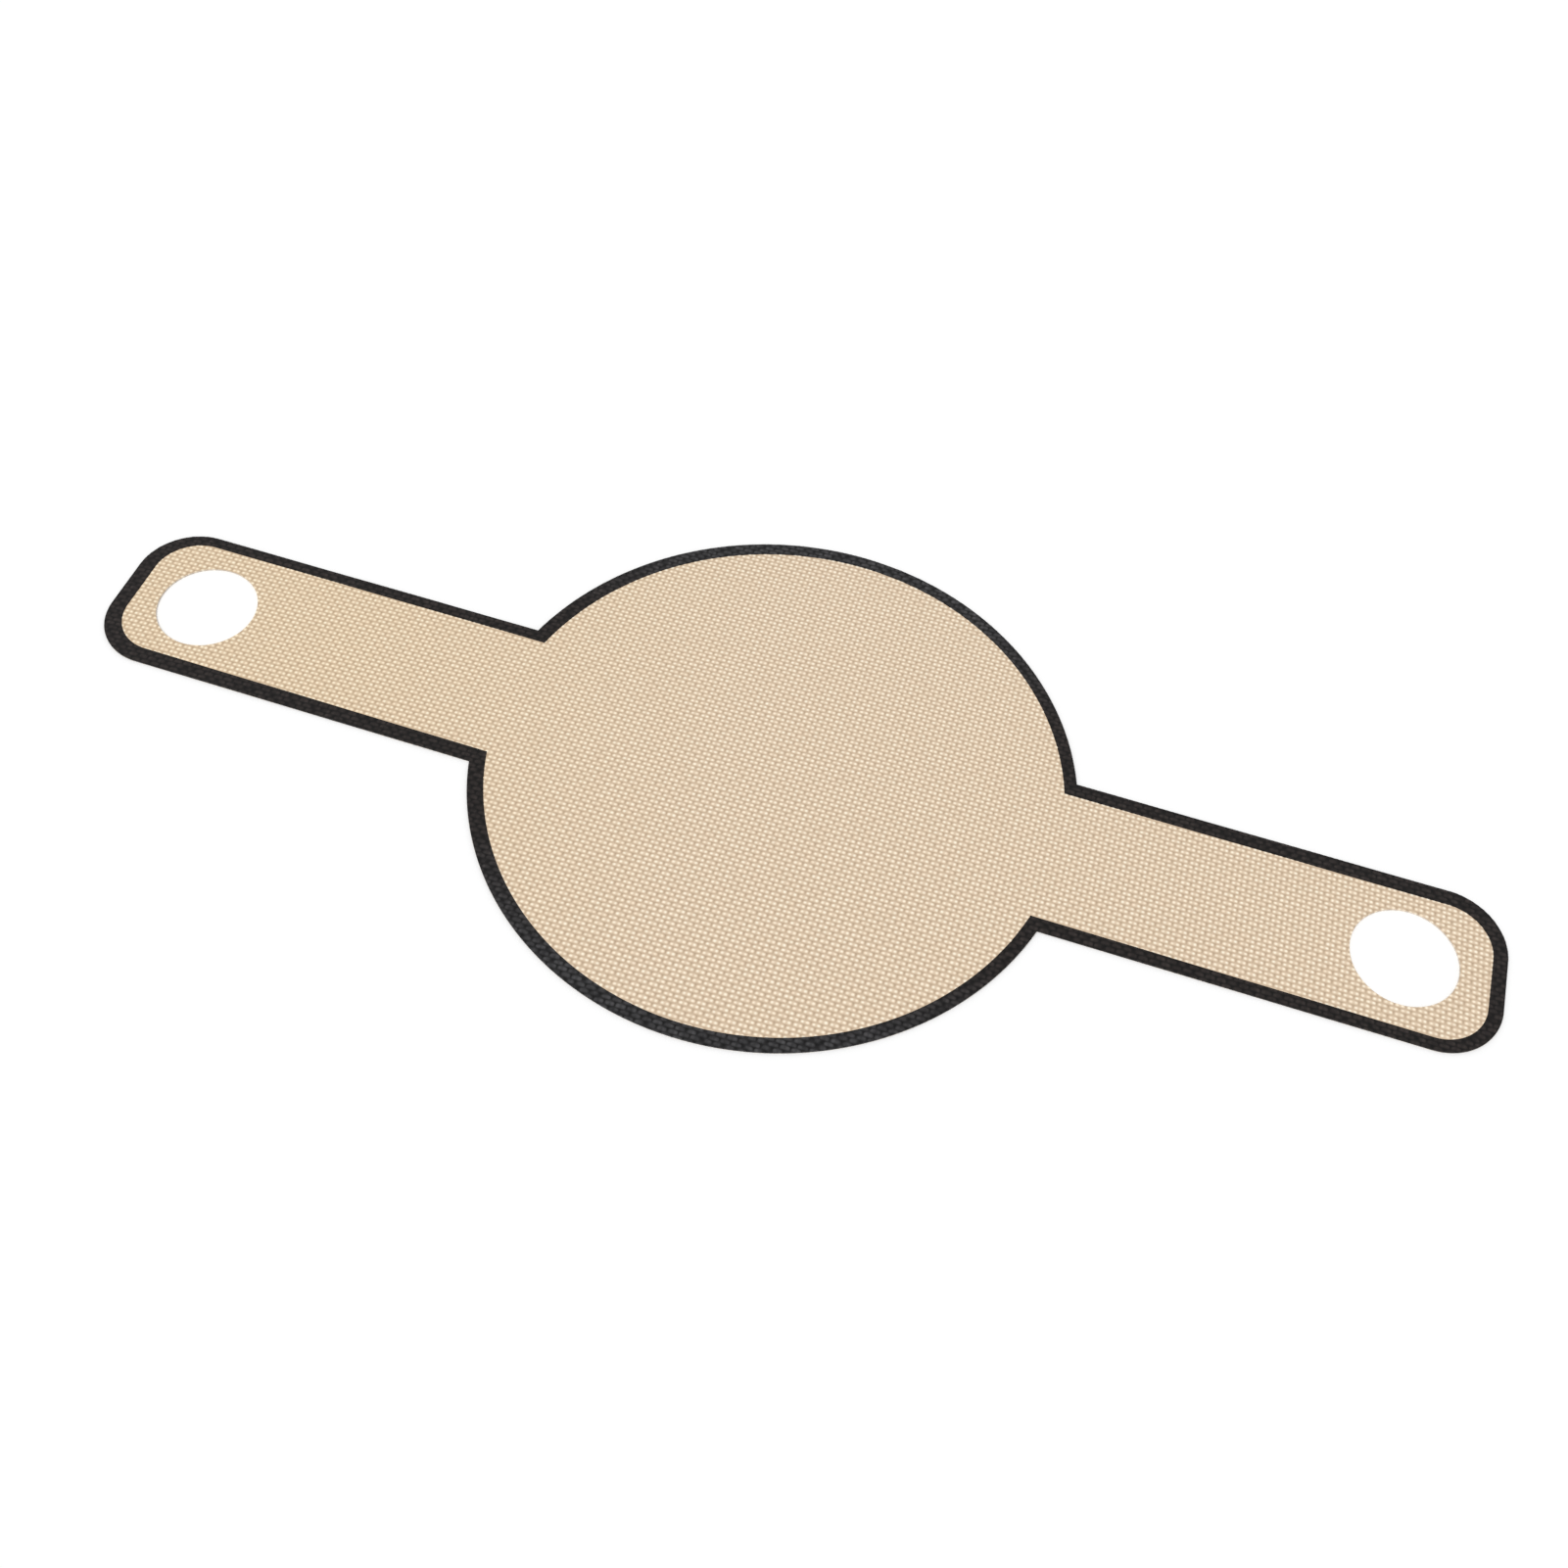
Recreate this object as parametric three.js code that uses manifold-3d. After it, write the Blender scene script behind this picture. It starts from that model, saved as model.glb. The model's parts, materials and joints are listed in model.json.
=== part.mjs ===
// A silicone bread sling: a round baking mat with a long strap on each side, to lift a loaf from a deep pot.
// The sheet is glass-fibre cloth between two silicone coats, with a black silicone band round its rim.
// It lies flat on z = 0, its round part centred on the origin, the straps along X and the front towards -Y.
// Each strap bends up close to the round part, and bends up again before its finger hole.
import * as THREE from "three";
import { mergeVertices } from "three/addons/utils/BufferGeometryUtils.js";
import Module from "manifold-3d";

// Driving dimensions, in millimetres
const DISC_DIAMETER = 210;
const OVERALL_LENGTH = 500;
const STRAP_WIDTH = 61;
const END_CORNER_RADIUS = 21;
const FINGER_HOLE_DIAMETER = 36;
const FINGER_HOLE_TO_END = 32.75; // from the hole's centre to the end of the strap
const BAND_WIDTH = 5;
const BOTTOM_COAT_THICKNESS = 0.2;
const CLOTH_THICKNESS = 0.3;
const TOP_COAT_THICKNESS = 0.2;
const BAND_THICKNESS = 0.1;
const ROOT_FOLD_TO_DISC = 8; // from the disc's edge to the strap's first fold line
const ROOT_LENGTH = 22; // from the strap's first fold line to its second
const GRIP_FOLD_TO_HOLE = 25; // from the grip's fold line to the near edge of the finger hole
const ARC_SEGMENTS = 20; // an arc is drawn with twice as many straight steps

// Heights of the layers above the table
const CLOTH_BOTTOM = BOTTOM_COAT_THICKNESS;
const TOP_COAT_BOTTOM = CLOTH_BOTTOM + CLOTH_THICKNESS;
const BAND_BOTTOM = TOP_COAT_BOTTOM + TOP_COAT_THICKNESS;
const TOTAL_THICKNESS = BAND_BOTTOM + BAND_THICKNESS;

// A fold as open as the sheet is thick lets a stretch turn up without its edges meeting.
const FOLD_GAP = TOTAL_THICKNESS;
const HALF_GAP = FOLD_GAP / 2;

// Where the pieces begin and end along X, on either side of the middle
const DISC_EDGE = Math.sqrt((DISC_DIAMETER / 2) ** 2 - (STRAP_WIDTH / 2) ** 2);
const STRAP_END = OVERALL_LENGTH / 2;
const HOLE_CENTRE = STRAP_END - FINGER_HOLE_TO_END;
const ROOT_FOLD = DISC_EDGE + ROOT_FOLD_TO_DISC;
const STRAP_FOLD = ROOT_FOLD + ROOT_LENGTH;
const GRIP_FOLD = HOLE_CENTRE - FINGER_HOLE_DIAMETER / 2 - GRIP_FOLD_TO_HOLE;

// The strap's folds turn about the top face, and the grip's about mid-thickness.
const STRAP_FOLD_HEIGHT = TOTAL_THICKNESS;
const GRIP_FOLD_HEIGHT = TOTAL_THICKNESS / 2;

const TAN_SILICONE = new THREE.MeshStandardMaterial({ color: 0xdbc6ad, roughness: 0.45, metalness: 0 });
const GLASS_CLOTH = new THREE.MeshStandardMaterial({ color: 0xe9e1d4, roughness: 0.8, metalness: 0 });
const BLACK_SILICONE = new THREE.MeshStandardMaterial({ color: 0x2f2d2e, roughness: 0.5, metalness: 0 });

const wasm = await Module();
wasm.setup();

/** The sling's outline, drawn in by inset: the disc's two arcs with a round-cornered strap on each side. */
function drawOutline(path, inset) {
  const radius = DISC_DIAMETER / 2 - inset;
  const halfWidth = STRAP_WIDTH / 2 - inset;
  const corner = Math.min(Math.max(END_CORNER_RADIUS - inset, BAND_THICKNESS), halfWidth);
  const cornerX = STRAP_END - inset - corner;
  const cornerY = halfWidth - corner;
  const strapAngle = Math.asin(halfWidth / radius);
  path.absarc(0, 0, radius, strapAngle, Math.PI - strapAngle);
  path.absarc(-cornerX, cornerY, corner, Math.PI / 2, Math.PI);
  path.absarc(-cornerX, -cornerY, corner, Math.PI, 1.5 * Math.PI);
  path.absarc(0, 0, radius, Math.PI + strapAngle, 2 * Math.PI - strapAngle);
  path.absarc(cornerX, -cornerY, corner, 1.5 * Math.PI, 2 * Math.PI);
  path.absarc(cornerX, cornerY, corner, 0, Math.PI / 2);
  path.closePath();
  return path;
}

/** The whole sheet as one flat shape, with a finger hole near each end. */
function sheetShape() {
  const shape = drawOutline(new THREE.Shape(), 0);
  for (const side of [-1, 1]) {
    const hole = new THREE.Path();
    hole.absarc(side * HOLE_CENTRE, 0, FINGER_HOLE_DIAMETER / 2, 0, 2 * Math.PI);
    shape.holes.push(hole);
  }
  return shape;
}

/** The printed rim band as one flat shape: the outline less itself drawn in by the band's width. */
function bandShape() {
  const shape = drawOutline(new THREE.Shape(), 0);
  shape.holes.push(drawOutline(new THREE.Path(), BAND_WIDTH));
  return shape;
}

/** A three.js geometry as a manifold-3d solid. */
function solidOf(geometry) {
  const plain = geometry.clone();
  plain.deleteAttribute("normal");
  plain.deleteAttribute("uv");
  const merged = mergeVertices(plain);
  return new wasm.Manifold(
    new wasm.Mesh({
      numProp: 3,
      vertProperties: merged.attributes.position.array,
      triVerts: new Uint32Array(merged.index.array),
    }),
  );
}

/** A manifold-3d solid as a three.js geometry with flat faces. */
function geometryOf(solid) {
  const mesh = solid.getMesh();
  const indexed = new THREE.BufferGeometry();
  indexed.setAttribute("position", new THREE.BufferAttribute(mesh.vertProperties, mesh.numProp));
  indexed.setIndex(new THREE.BufferAttribute(mesh.triVerts, 1));
  const flat = indexed.toNonIndexed();
  flat.computeVertexNormals();
  return flat;
}

/** A flat shape made into a layer of the given thickness, lying at the given height. */
function layerSolid(shape, bottom, thickness) {
  const options = { depth: thickness, bevelEnabled: false, curveSegments: ARC_SEGMENTS };
  return solidOf(new THREE.ExtrudeGeometry(shape, options).translate(0, 0, bottom));
}

/** The stretch of a layer between two places along X, as its separate solids from front to back. */
function stretchOf(layer, from, to) {
  const depth = 2 * DISC_DIAMETER;
  const slab = new THREE.BoxGeometry(to - from, depth, 2 * depth).translate((from + to) / 2, 0, 0);
  const solids = layer.intersect(solidOf(slab)).decompose();
  const middle = (solid) => solid.boundingBox().min[1] + solid.boundingBox().max[1];
  return solids.sort((a, b) => middle(a) - middle(b));
}

const cloth = layerSolid(sheetShape(), CLOTH_BOTTOM, CLOTH_THICKNESS);
const topCoat = layerSolid(sheetShape(), TOP_COAT_BOTTOM, TOP_COAT_THICKNESS);
const bottomCoat = layerSolid(sheetShape(), 0, BOTTOM_COAT_THICKNESS);
const band = layerSolid(bandShape(), BAND_BOTTOM, BAND_THICKNESS);

/** One stretch of the sheet: its three layers and bits of rim band, in a group set on its fold line. */
function stretchGroup(name, from, to, foldX, foldHeight) {
  const group = new THREE.Group();
  const add = (node, solid, material) => {
    const mesh = new THREE.Mesh(geometryOf(solid).translate(-foldX, 0, -foldHeight), material);
    mesh.name = `${name}_${node}`;
    group.add(mesh);
  };
  add("bottom_coat", stretchOf(bottomCoat, from, to)[0], TAN_SILICONE);
  add("cloth", stretchOf(cloth, from, to)[0], GLASS_CLOTH);
  add("top_coat", stretchOf(topCoat, from, to)[0], TAN_SILICONE);
  const bands = stretchOf(band, from, to);
  const bandNames = bands.length === 1 ? ["band"] : ["front_band", "back_band"];
  bands.forEach((solid, i) => add(bandNames[i], solid, BLACK_SILICONE));
  group.position.set(foldX, 0, foldHeight);
  return group;
}

/** The strap on one side as a chain of three groups, each hung from the fold line of the one before. */
function strapChain(name, side) {
  const stretch = (piece, from, to, fold, height) => {
    const [low, high] = [side * from, side * to].sort((a, b) => a - b);
    return stretchGroup(`${name}_${piece}`, low, high, side * fold, height);
  };
  const root = stretch("root", ROOT_FOLD + HALF_GAP, STRAP_FOLD - HALF_GAP, ROOT_FOLD, STRAP_FOLD_HEIGHT);
  const strap = stretch("strap", STRAP_FOLD + HALF_GAP, GRIP_FOLD - HALF_GAP, STRAP_FOLD, STRAP_FOLD_HEIGHT);
  const grip = stretch("grip", GRIP_FOLD + HALF_GAP, STRAP_END + HALF_GAP, GRIP_FOLD, GRIP_FOLD_HEIGHT);
  root.attach(strap);
  strap.attach(grip);
  return root;
}

const sling = stretchGroup("disc", HALF_GAP - ROOT_FOLD, ROOT_FOLD - HALF_GAP, 0, 0);
sling.name = "bread_sling";
sling.add(strapChain("left", -1), strapChain("right", 1));

export default sling;
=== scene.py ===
"""A silicone bread sling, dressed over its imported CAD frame.

The sling is one flexible sheet: plain-woven glass cloth between two tan silicone coats, with a black
silicone band printed round its rim. Each stretch of the sheet is made from a cut outline, from the lattice
of yarns that shows as relief and colour, and from the heights of the layers. Lengths in the classes are
millimetres, and the meshes are put into Blender in metres.
"""

import json
import logging
import math
from collections.abc import Callable
from dataclasses import dataclass, field, replace
from enum import Enum

import bpy
import numpy as np
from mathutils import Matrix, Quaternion, Vector
from mathutils.geometry import delaunay_2d_cdt

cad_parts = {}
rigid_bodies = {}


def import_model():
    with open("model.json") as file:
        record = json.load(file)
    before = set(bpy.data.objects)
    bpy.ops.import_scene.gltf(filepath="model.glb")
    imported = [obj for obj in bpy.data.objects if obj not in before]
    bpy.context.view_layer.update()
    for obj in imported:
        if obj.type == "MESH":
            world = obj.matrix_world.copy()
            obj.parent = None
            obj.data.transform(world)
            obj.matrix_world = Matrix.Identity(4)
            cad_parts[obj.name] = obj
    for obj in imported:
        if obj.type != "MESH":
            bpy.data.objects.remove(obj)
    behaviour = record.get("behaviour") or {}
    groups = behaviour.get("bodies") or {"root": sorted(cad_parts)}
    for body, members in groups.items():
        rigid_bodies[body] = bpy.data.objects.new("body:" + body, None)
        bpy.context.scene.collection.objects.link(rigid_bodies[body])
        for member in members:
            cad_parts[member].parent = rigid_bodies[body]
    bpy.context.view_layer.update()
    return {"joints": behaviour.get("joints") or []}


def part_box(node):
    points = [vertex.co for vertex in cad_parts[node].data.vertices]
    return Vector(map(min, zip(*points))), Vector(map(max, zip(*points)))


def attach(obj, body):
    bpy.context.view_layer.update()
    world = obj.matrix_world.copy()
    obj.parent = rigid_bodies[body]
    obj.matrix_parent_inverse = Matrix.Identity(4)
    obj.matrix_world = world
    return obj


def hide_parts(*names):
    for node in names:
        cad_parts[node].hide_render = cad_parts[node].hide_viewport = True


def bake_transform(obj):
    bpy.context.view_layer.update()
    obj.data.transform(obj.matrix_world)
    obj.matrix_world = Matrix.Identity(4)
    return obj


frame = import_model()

MM = 0.001
YARN_MAP = "yarns"
SHARP_ANGLE = math.radians(55.0)  # faces that meet at more than this are shaded with a crease
DRIFT_ROUNDS = 12  # enough for the yarn counts to settle
YARNS_PAST = 2.0  # how far a lattice reaches past its box
CDT_TRIANGLES = 0  # asks the triangulation for all triangles
MIX_COLOURS = (6, 7)  # the Mix node's two colour inputs, whose names other inputs share
MIX_RESULT = 2  # its colour output

Array = np.ndarray
Region = Callable[[Array, float], Array]
Span = tuple[float, float]
Point = tuple[float, float]
Colour = tuple[float, float, float]
Socket = bpy.types.NodeSocket
Value = Socket | float

log = logging.getLogger("bread_sling")


class Side(Enum):
    """Which way a strap points along X."""

    LEFT = -1
    RIGHT = 1


class Edge(Enum):
    """Which long edge of the sheet, along Y."""

    FRONT = -1
    BACK = 1


class Slot(Enum):
    """The record's material slots."""

    TAN = "tan_silicone"
    CLOTH = "glass_cloth"
    BLACK = "black_silicone"


def smoothstep(values: Array, start: float, stop: float) -> Array:
    """An S-shaped rise from 0 at start to 1 at stop.

    Args:
        values: where the rise is wanted.
        start: the value at which it begins.
        stop: the value at which it is complete.

    Returns:
        3t squared less 2t cubed, with t the share of the way from start to stop, held between 0 and 1.
    """
    t = np.clip((values - start) / (stop - start), 0.0, 1.0)
    return t * t * (3.0 - 2.0 * t)


def straight(start: Point, stop: Point, step: float) -> Array:
    """Evenly spaced points on a straight line, both ends included.

    Args:
        start: the first point.
        stop: the last point.
        step: the widest gap allowed between points.

    Returns:
        The points, one a row.
    """
    count = max(1, math.ceil(math.dist(start, stop) / step))
    return np.linspace(start, stop, count + 1)


def arc(centre: Point, radius: float, start: float, stop: float, step: float) -> Array:
    """Evenly spaced points on a circular arc, both ends included.

    Args:
        centre: the arc's centre.
        radius: its radius.
        start: the angle of the first point, in radians.
        stop: the angle of the last point.
        step: the widest gap allowed between points.

    Returns:
        centre plus radius times (cosine, sine) of the angle, one point a row.
    """
    count = max(1, math.ceil(abs(stop - start) * radius / step))
    angle = np.linspace(start, stop, count + 1)
    return np.array(centre) + radius * np.column_stack((np.cos(angle), np.sin(angle)))


def ring(*paths: Array, solid: bool = True) -> Array:
    """Paths joined end to end into one closed loop.

    Args:
        paths: the paths, each starting where the one before it ends.
        solid: True for an outer edge, which runs anticlockwise, and False for a hole, which runs clockwise.

    Returns:
        The loop's points without the repeated ends.
    """
    loop = np.concatenate([path[:-1] for path in paths])
    following = np.roll(loop, -1, axis=0)
    twice_area = np.sum(loop[:, 0] * following[:, 1] - loop[:, 1] * following[:, 0])
    return loop if (twice_area > 0.0) == solid else loop[::-1]


@dataclass(frozen=True)
class Crown:
    """What the weave's relief is made of: shares of its height, the dots' falloff and the ties' lean."""

    everywhere: float = 0.2
    dot: float = 0.7
    tie: float = 0.155
    ridge: float = 0.1
    falloff: float = 1.1
    lean: float = 0.1


CROWN = Crown()


@dataclass(frozen=True)
class Weave:
    """The plain weave of glass yarns, which shows through both coats.

    A place on the sheet is counted in yarns: a runs across the yarns that lie along Y, and b across those
    that lie along X. The yarns are a little out of square with the sheet and wander slowly.
    """

    pitch_a: float = 1.83
    pitch_b: float = 1.721
    turn_a: float = math.radians(1.94)
    turn_b: float = math.radians(1.5)
    wander: float = 0.1
    jitter: float = 0.04

    def matrix(self) -> Array:
        """The even lattice that turns plan points into yarn counts.

        Returns:
            A row to each set of yarns: its direction across the yarns over its pitch.
        """
        across_a = np.array((math.cos(self.turn_a), math.sin(self.turn_a))) / self.pitch_a
        across_b = np.array((-math.sin(self.turn_b), math.cos(self.turn_b))) / self.pitch_b
        return np.array((across_a, across_b))

    def drift(self, counts: Array) -> Array:
        """How far the yarns have wandered from an even lattice.

        Args:
            counts: places in yarns.

        Returns:
            Offsets in yarns: slow sines along and across the yarns, and a quick uneven one across them.
            Their rates and phases are free choices, unlike each other so that nothing repeats.
        """
        a, b = counts[:, 0], counts[:, 1]
        slow_a = np.sin(0.043 * a + 0.6) + np.sin(0.057 * b + 0.013 * a + 1.3)
        slow_b = np.sin(0.051 * b + 2.1) + np.sin(0.047 * a + 0.011 * b + 0.4)
        quick_a = np.sin(2.17 * a + 0.9 * np.sin(0.31 * a) + 0.5 * np.sin(0.23 * b))
        quick_b = np.sin(2.39 * b + 0.8 * np.sin(0.27 * b) + 0.5 * np.sin(0.29 * a))
        return np.column_stack((
            self.wander * slow_a + self.jitter * quick_a,
            self.wander * slow_b + self.jitter * quick_b,
        ))

    def place(self, counts: Array) -> Array:
        """Where places counted in yarns lie on the sheet.

        Args:
            counts: places in yarns.

        Returns:
            Plan points: the counts plus their drift, taken back through the even lattice.
        """
        return (counts + self.drift(counts)) @ np.linalg.inv(self.matrix()).T

    def count(self, plan: Array) -> Array:
        """Plan points counted in yarns, the reverse of place.

        Args:
            plan: points on the sheet.

        Returns:
            Counts found by taking the drift off again and again until it settles.
        """
        even = plan @ self.matrix().T
        counts = even
        for _ in range(DRIFT_ROUNDS):
            counts = even - self.drift(counts)
        return counts

    def lattice(self, low: Point, high: Point, samples: float) -> Array:
        """Plan points in step with the yarns that cover a box.

        Args:
            low: the box's lowest corner.
            high: its highest corner.
            samples: points to a yarn.

        Returns:
            The plan points of a grid of counts, which reaches a little past the box.
        """
        corners = np.array([(x, y) for x in (low[0], high[0]) for y in (low[1], high[1])])
        counts = corners @ self.matrix().T
        first = np.floor(counts.min(axis=0) - YARNS_PAST) * samples
        last = np.ceil(counts.max(axis=0) + YARNS_PAST) * samples
        a, b = (np.arange(start, stop + 0.5) / samples for start, stop in zip(first, last))
        grid = np.stack(np.meshgrid(a, b, indexing="ij"), axis=-1)
        return self.place(grid.reshape(-1, 2))

    def crown(self, counts: Array) -> Array:
        """How far the sheet stands up over the yarns, from about 0.1 in the joints to 1 on the crossings.

        Args:
            counts: places in yarns.

        Returns:
            A round dot where yarns cross, the product of two raised cosines; a tie that joins dots in pairs
            along a, staggered from row to row; and a low ridge along each row.
        """
        a, b = counts[:, 0], counts[:, 1]
        ridge_a = 0.5 + 0.5 * np.cos(2.0 * math.pi * a)
        ridge_b = 0.5 + 0.5 * np.cos(2.0 * math.pi * b)
        dot = (ridge_a * ridge_b) ** CROWN.falloff
        tie = np.sin(math.pi * a) * np.cos(math.pi * (b - CROWN.lean))
        return CROWN.everywhere + CROWN.dot * dot + CROWN.tie * tie + CROWN.ridge * ridge_b


@dataclass(frozen=True)
class Outline:
    """A flat outline: a disc with a round-cornered strap laid across it, perhaps a little off its place."""

    radius: float
    half_length: float
    half_width: float
    corner: float
    shift: Point = (0.0, 0.0)
    turn: float = 0.0

    def drawn_in(self, inset: float, shift: Point = (0.0, 0.0), turn: float = 0.0) -> "Outline":
        """The same outline drawn in all round, shifted and turned.

        Args:
            inset: how far it is drawn in.
            shift: how far it lies off along X and Y.
            turn: its angle, in radians.

        Returns:
            The smaller outline.
        """
        return Outline(
            self.radius - inset,
            self.half_length - inset,
            self.half_width - inset,
            self.corner - inset,
            shift,
            turn,
        )

    def laid(self, points: Array) -> Array:
        """Points of the outline's own frame, turned and shifted to where it lies."""
        c, s = math.cos(self.turn), math.sin(self.turn)
        return points @ np.array(((c, s), (-s, c))) + np.array(self.shift)

    def distance(self, plan: Array) -> Array:
        """How far points lie outside the outline.

        Args:
            plan: points on the sheet.

        Returns:
            The lesser of the distances to the disc and to the strap, negative inside. The strap's is
            that of a rectangle smaller by the corner radius, less that radius.
        """
        c, s = math.cos(self.turn), math.sin(self.turn)
        own = (plan - np.array(self.shift)) @ np.array(((c, -s), (s, c)))
        to_disc = np.hypot(own[:, 0], own[:, 1]) - self.radius
        reach = np.abs(own) - (self.half_length - self.corner, self.half_width - self.corner)
        outside = np.hypot(np.maximum(reach[:, 0], 0.0), np.maximum(reach[:, 1], 0.0))
        to_strap = outside + np.minimum(reach.max(axis=1), 0.0) - self.corner
        return np.minimum(to_disc, to_strap)

    def edge_y(self, edge: Edge, x: float) -> float:
        """Where the strap's long edge is along Y, at a place along X."""
        slope = math.tan(self.turn) * (x - self.shift[0])
        return self.shift[1] + slope + edge.value * self.half_width / math.cos(self.turn)

    def long_edge(self, edge: Edge, start: float, stop: float, step: float) -> Array:
        """The front or back edge between two places along X.

        Args:
            edge: front or back.
            start: X where the path starts.
            stop: X where it ends.
            step: the widest gap along X.

        Returns:
            Points at half the outline's breadth: the disc's half chord where that is wider than the strap.
        """
        notch = math.sqrt(self.radius**2 - self.half_width**2)
        low, high = sorted((start - self.shift[0], stop - self.shift[0]))
        x = np.linspace(low, high, max(1, math.ceil((high - low) / step)) + 1)
        corners = np.array([c for c in (-notch, notch) if low < c < high])
        x = np.unique(np.concatenate((x, corners)))
        x = x if start < stop else x[::-1]
        chord = np.sqrt(np.maximum(self.radius**2 - x**2, 0.0))
        half_breadth = np.where(np.abs(x) <= notch, chord, self.half_width)
        path = self.laid(np.column_stack((x, edge.value * half_breadth)))
        path[0] = (start, self.edge_y(edge, start))
        path[-1] = (stop, self.edge_y(edge, stop))
        return path

    def strap_end(self, side: Side, near: float, step: float) -> Array:
        """The edge round a strap's end, from the front of a seam to the back of it.

        Args:
            side: the left or the right strap.
            near: how far the seam is from the middle along X.
            step: the widest gap between points.

        Returns:
            Straight edges joined by two quarter circles.
        """
        seam_x = near - side.value * self.shift[0]
        far = self.half_length - self.corner
        out = self.half_width - self.corner
        quarter = math.pi / 2.0
        parts = (
            straight((seam_x, -self.half_width), (far, -self.half_width), step)[:-1],
            arc((far, -out), self.corner, -quarter, 0.0, step)[:-1],
            straight((self.half_length, -out), (self.half_length, out), step)[:-1],
            arc((far, out), self.corner, 0.0, quarter, step)[:-1],
            straight((far, self.half_width), (seam_x, self.half_width), step),
        )
        path = self.laid(np.concatenate(parts) * (side.value, 1.0))
        path[0] = (side.value * near, self.edge_y(Edge.FRONT, side.value * near))
        path[-1] = (side.value * near, self.edge_y(Edge.BACK, side.value * near))
        return path


@dataclass(frozen=True)
class Layers:
    """Heights of the sheet's layers, with the relief that the weave gives to its two faces.

    The printed film has its full thickness a feather's width from its inner edge, and levels part of the
    relief there. Its lip goes down the cut edge. The fine mesh of the tan face is tucked under the film.
    """

    cloth_bottom: float
    cloth_top: float
    face: float
    relief: float = 0.20
    relief_middle: float = 0.45
    under_relief: float = 0.14
    film: float = 0.075
    film_edge: float = 0.03
    film_feather: float = 0.45
    film_levelling: float = 0.2
    lip: float = 0.04
    lip_bottom: float = 0.15
    tuck: float = 1.3
    slack: float = 0.01

    @property
    def valley(self) -> float:
        """The lowest level of the printed face."""
        return self.face - self.relief * self.relief_middle

    def top(self, crown: Array, under_print: Array) -> Array:
        """Height of the tan face: the valley level plus the relief, and level under the print.

        Args:
            crown: the weave's crown at each point.
            under_print: how far each point lies under the print, which counts past a small slack.

        Returns:
            Heights.
        """
        return self.valley + self.relief * crown * (under_print < self.slack)

    def print_top(self, crown: Array, under_print: Array) -> Array:
        """Height of the printed film: it feathers out at its edge and levels the relief a little.

        Args:
            crown: the weave's crown at each point.
            under_print: how far each point lies from the print's inner edge.

        Returns:
            Heights.
        """
        full = smoothstep(under_print, 0.0, self.film_feather)
        film = self.film_edge + (self.film - self.film_edge) * full
        return self.valley + self.relief * crown * (1.0 - self.film_levelling * full) + film

    def print_seat(self, past_cut: Array) -> Array:
        """Height of the printed film's lower face: the valley level, and down the cut edge past the cut.

        Args:
            past_cut: how far each point lies outside the cut.

        Returns:
            Heights.
        """
        return np.where(past_cut > self.lip / 2.0, self.lip_bottom, self.valley)

    def under(self, crown: Array) -> Array:
        """Height of the underside: the crowns touch the table and the gaps between them arch up."""
        return self.under_relief * (1.0 - crown)


@dataclass
class Patch:
    """A flat region cut into triangles: its edge loops' points come first, then the points inside."""

    points: Array
    triangles: Array
    loops: list[Array]

    def area(self) -> float:
        """The region's area.

        Returns:
            Half the sum, over the triangles, of the cross product of two sides.
        """
        p = self.points[self.triangles]
        u, v = p[:, 1] - p[:, 0], p[:, 2] - p[:, 0]
        return float(np.sum(u[:, 0] * v[:, 1] - u[:, 1] * v[:, 0]) / 2.0)


@dataclass
class PrintBit:
    """One bit of the printed band, from its inner edge to the lip that it laps over the cut edge."""

    label: str
    lip: Array
    cut: Array
    inner: Array
    edge: Edge | None = None

    def loop(self, step: float) -> Array:
        """The bit's edge loop: the lip, across past the cut edge, and back along the inner edge.

        Args:
            step: the widest gap between points across the bit's ends.

        Returns:
            The loop's points, anticlockwise.
        """
        over = np.array((self.lip[-1], self.cut[-1]))
        there = straight(tuple(self.cut[-1]), tuple(self.inner[0]), step)
        back = straight(tuple(self.inner[-1]), tuple(self.cut[0]), step)
        out = np.array((self.cut[0], self.lip[0]))
        return ring(self.lip, over, there, self.inner, back, out)

    def beside(self, plan: Array) -> Array:
        """True for points on the bit's own side of the sheet's middle line."""
        return np.full(len(plan), True) if self.edge is None else plan[:, 1] * self.edge.value > 0.0


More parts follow.
